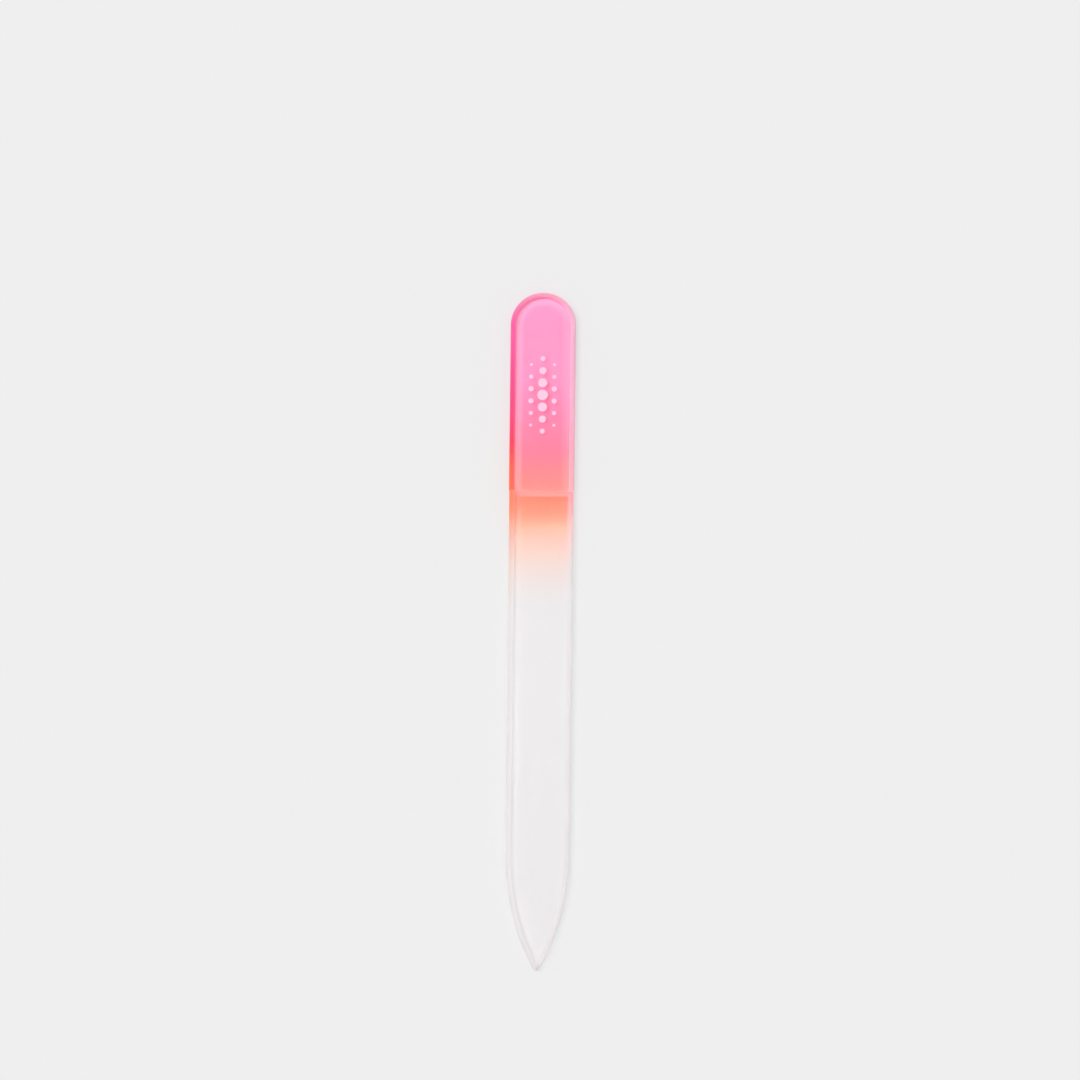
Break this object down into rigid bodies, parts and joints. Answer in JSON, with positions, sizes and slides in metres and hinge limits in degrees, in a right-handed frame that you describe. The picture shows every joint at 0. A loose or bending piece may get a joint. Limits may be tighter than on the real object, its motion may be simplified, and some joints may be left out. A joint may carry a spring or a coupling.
{
  "type": "glass nail file",
  "caption": "Slim glass nail file with a round polished handle, a frosted abrasive blade that closes to a blunt cuticle point, and pink and orange fired coats.",
  "frame": {"origin": "centre of the file's outline, on the surface that it lies on", "axes": "+Y along the file from the point to the round handle end, +Z out of the front face, +X across the file"},
  "size_m": [0.0132, 0.135, 0.0031],
  "materials": {
    "glass": "polished handle, acid-etched satin blade",
    "pink_enamel": "fired translucent enamel, gloss",
    "orange_enamel": "fired translucent enamel over etched glass, fading out"
  },
  "bodies": {
    "root": {"glass_blank": "glass", "pink_coat": "pink_enamel", "orange_coat": "orange_enamel"}
  },
  "joints": []
}
